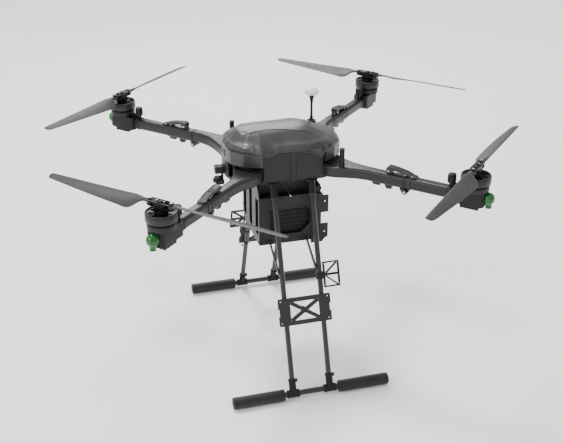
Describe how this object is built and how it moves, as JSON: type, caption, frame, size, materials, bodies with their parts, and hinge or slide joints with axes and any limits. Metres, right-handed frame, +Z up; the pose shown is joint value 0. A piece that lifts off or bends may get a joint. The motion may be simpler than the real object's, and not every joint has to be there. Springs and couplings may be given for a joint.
{
  "type": "quadcopter drone",
  "caption": "Folding multirotor drone with latching fold-down arms, folding propellers, tall skid legs, a nose camera and a slung battery bay.",
  "frame": {"origin": "on the ground, midway between the skids and under the hub's centre", "axes": "+Z up, nose towards -X, right-hand side of the craft towards +Y"},
  "size_m": [1.4558, 1.4558, 0.8849],
  "materials": {
    "hub_shell": "moulded composite, satin black",
    "canopy_shell": "satin dark grey shell",
    "carbon_plate": "flat carbon plate",
    "electronics": "moulded case",
    "arm_moulding": "satin dark grey composite",
    "carbon_tube": "woven carbon under satin lacquer",
    "steel_pin": "ground steel",
    "black_plastic": "fine-grained black plastic",
    "white_dome": "gloss white",
    "dark_alloy": "dark anodised alloy",
    "clamp_alloy": "black anodised alloy",
    "lever_alloy": "dark anodised alloy, bead blasted",
    "foam": "closed-cell foam",
    "grey_plate": "brushed grey composite plate",
    "bay_composite": "dark grey composite plate",
    "battery_case": "ribbed black case",
    "green_lens": "clear green lens",
    "blade": "satin dark grey composite"
  },
  "bodies": {
    "root": {"hub_tray": "hub_shell", "canopy": "canopy_shell", "core_plates": "carbon_plate", "flight_controller": "electronics", "fold_pins": "steel_pin", "gnss_mast": "black_plastic", "gnss_dome": "white_dome", "stub_antennas": "black_plastic", "leg_sockets": "dark_alloy", "leg_tubes": "carbon_tube", "foot_tees": "black_plastic", "foot_tubes": "carbon_tube", "foot_sleeves": "foam", "brace_plates": "grey_plate", "knee_struts": "grey_plate", "bay_frame": "bay_composite", "bay_front_panel": "grey_plate", "accessory_plate": "bay_composite", "power_connector": "black_plastic", "camera_bracket": "black_plastic", "sensor_brackets": "black_plastic", "arm_root_fl": "arm_moulding", "arm_root_fr": "arm_moulding", "arm_root_rl": "arm_moulding", "arm_root_rr": "arm_moulding"},
    "battery": {"battery": "battery_case"},
    "camera": {"camera_head": "black_plastic"},
    "arm_fl": {"arm_tube_fl": "carbon_tube", "motor_mount_fl": "dark_alloy", "led_lens_fl": "green_lens"},
    "rotor_fl": {"motor_bell_fl": "dark_alloy", "prop_clamp_fl": "clamp_alloy"},
    "blade_a_fl": {"blade_a_fl": "blade"},
    "blade_b_fl": {"blade_b_fl": "blade"},
    "latch_fl": {"latch_lever_fl": "lever_alloy"},
    "arm_fr": {"arm_tube_fr": "carbon_tube", "motor_mount_fr": "dark_alloy", "led_lens_fr": "green_lens"},
    "rotor_fr": {"motor_bell_fr": "dark_alloy", "prop_clamp_fr": "clamp_alloy"},
    "blade_a_fr": {"blade_a_fr": "blade"},
    "blade_b_fr": {"blade_b_fr": "blade"},
    "latch_fr": {"latch_lever_fr": "lever_alloy"},
    "arm_rl": {"arm_tube_rl": "carbon_tube", "motor_mount_rl": "dark_alloy", "led_lens_rl": "green_lens"},
    "rotor_rl": {"motor_bell_rl": "dark_alloy", "prop_clamp_rl": "clamp_alloy"},
    "blade_a_rl": {"blade_a_rl": "blade"},
    "blade_b_rl": {"blade_b_rl": "blade"},
    "latch_rl": {"latch_lever_rl": "lever_alloy"},
    "arm_rr": {"arm_tube_rr": "carbon_tube", "motor_mount_rr": "dark_alloy", "led_lens_rr": "green_lens"},
    "rotor_rr": {"motor_bell_rr": "dark_alloy", "prop_clamp_rr": "clamp_alloy"},
    "blade_a_rr": {"blade_a_rr": "blade"},
    "blade_b_rr": {"blade_b_rr": "blade"},
    "latch_rr": {"latch_lever_rr": "lever_alloy"}
  },
  "joints": [
    {"name": "battery_slide", "type": "slide", "parent": "root", "child": "battery", "axis": [1, 0, 0], "range_m": [0, 0.21]},
    {"name": "camera_tilt", "type": "hinge", "parent": "root", "child": "camera", "pos_m": [-0.212, 0, 0.624], "axis": [0, 1, 0], "range_deg": [-90, 30]},
    {"name": "arm_fold_fl", "type": "hinge", "parent": "root", "child": "arm_fl", "pos_m": [-0.30406, -0.30406, 0.66], "axis": [0.7071, -0.7071, 0], "range_deg": [0, 90]},
    {"name": "prop_spin_fl", "type": "hinge", "parent": "arm_fl", "child": "rotor_fl", "pos_m": [-0.45255, -0.45255, 0.781], "axis": [0, 0, 1], "continuous": true},
    {"name": "blade_fold_a_fl", "type": "hinge", "parent": "rotor_fl", "child": "blade_a_fl", "pos_m": [-0.4278, -0.4773, 0.781], "axis": [0, 0, 1], "range_deg": [0, 95]},
    {"name": "blade_fold_b_fl", "type": "hinge", "parent": "rotor_fl", "child": "blade_b_fl", "pos_m": [-0.4773, -0.4278, 0.781], "axis": [0, 0, -1], "range_deg": [0, 95]},
    {"name": "latch_open_fl", "type": "hinge", "parent": "root", "child": "latch_fl", "pos_m": [-0.26446, -0.26446, 0.716], "axis": [-0.7071, 0.7071, 0], "range_deg": [0, 60]},
    {"name": "arm_fold_fr", "type": "hinge", "parent": "root", "child": "arm_fr", "pos_m": [-0.239, 0.239, 0.66], "axis": [-0.7071, -0.7071, 0], "range_deg": [0, 90]},
    {"name": "prop_spin_fr", "type": "hinge", "parent": "arm_fr", "child": "rotor_fr", "pos_m": [-0.45255, 0.45255, 0.781], "axis": [0, 0, 1], "continuous": true},
    {"name": "blade_fold_a_fr", "type": "hinge", "parent": "rotor_fr", "child": "blade_a_fr", "pos_m": [-0.4773, 0.4278, 0.781], "axis": [0, 0, 1], "range_deg": [0, 95]},
    {"name": "blade_fold_b_fr", "type": "hinge", "parent": "rotor_fr", "child": "blade_b_fr", "pos_m": [-0.4278, 0.4773, 0.781], "axis": [0, 0, -1], "range_deg": [0, 95]},
    {"name": "latch_open_fr", "type": "hinge", "parent": "arm_fr", "child": "latch_fr", "pos_m": [-0.26446, 0.26446, 0.716], "axis": [0.7071, 0.7071, 0], "range_deg": [0, 60]},
    {"name": "arm_fold_rl", "type": "hinge", "parent": "root", "child": "arm_rl", "pos_m": [0.30406, -0.30406, 0.66], "axis": [0.7071, 0.7071, 0], "range_deg": [0, 90]},
    {"name": "prop_spin_rl", "type": "hinge", "parent": "arm_rl", "child": "rotor_rl", "pos_m": [0.45255, -0.45255, 0.781], "axis": [0, 0, 1], "continuous": true},
    {"name": "blade_fold_a_rl", "type": "hinge", "parent": "rotor_rl", "child": "blade_a_rl", "pos_m": [0.4773, -0.4278, 0.781], "axis": [0, 0, 1], "range_deg": [0, 95]},
    {"name": "blade_fold_b_rl", "type": "hinge", "parent": "rotor_rl", "child": "blade_b_rl", "pos_m": [0.4278, -0.4773, 0.781], "axis": [0, 0, -1], "range_deg": [0, 95]},
    {"name": "latch_open_rl", "type": "hinge", "parent": "root", "child": "latch_rl", "pos_m": [0.26446, -0.26446, 0.716], "axis": [-0.7071, -0.7071, 0], "range_deg": [0, 60]},
    {"name": "arm_fold_rr", "type": "hinge", "parent": "root", "child": "arm_rr", "pos_m": [0.239, 0.239, 0.66], "axis": [-0.7071, 0.7071, 0], "range_deg": [0, 90]},
    {"name": "prop_spin_rr", "type": "hinge", "parent": "arm_rr", "child": "rotor_rr", "pos_m": [0.45255, 0.45255, 0.781], "axis": [0, 0, 1], "continuous": true},
    {"name": "blade_fold_a_rr", "type": "hinge", "parent": "rotor_rr", "child": "blade_a_rr", "pos_m": [0.4278, 0.4773, 0.781], "axis": [0, 0, 1], "range_deg": [0, 95]},
    {"name": "blade_fold_b_rr", "type": "hinge", "parent": "rotor_rr", "child": "blade_b_rr", "pos_m": [0.4773, 0.4278, 0.781], "axis": [0, 0, -1], "range_deg": [0, 95]},
    {"name": "latch_open_rr", "type": "hinge", "parent": "arm_rr", "child": "latch_rr", "pos_m": [0.26446, 0.26446, 0.716], "axis": [0.7071, -0.7071, 0], "range_deg": [0, 60]}
  ]
}
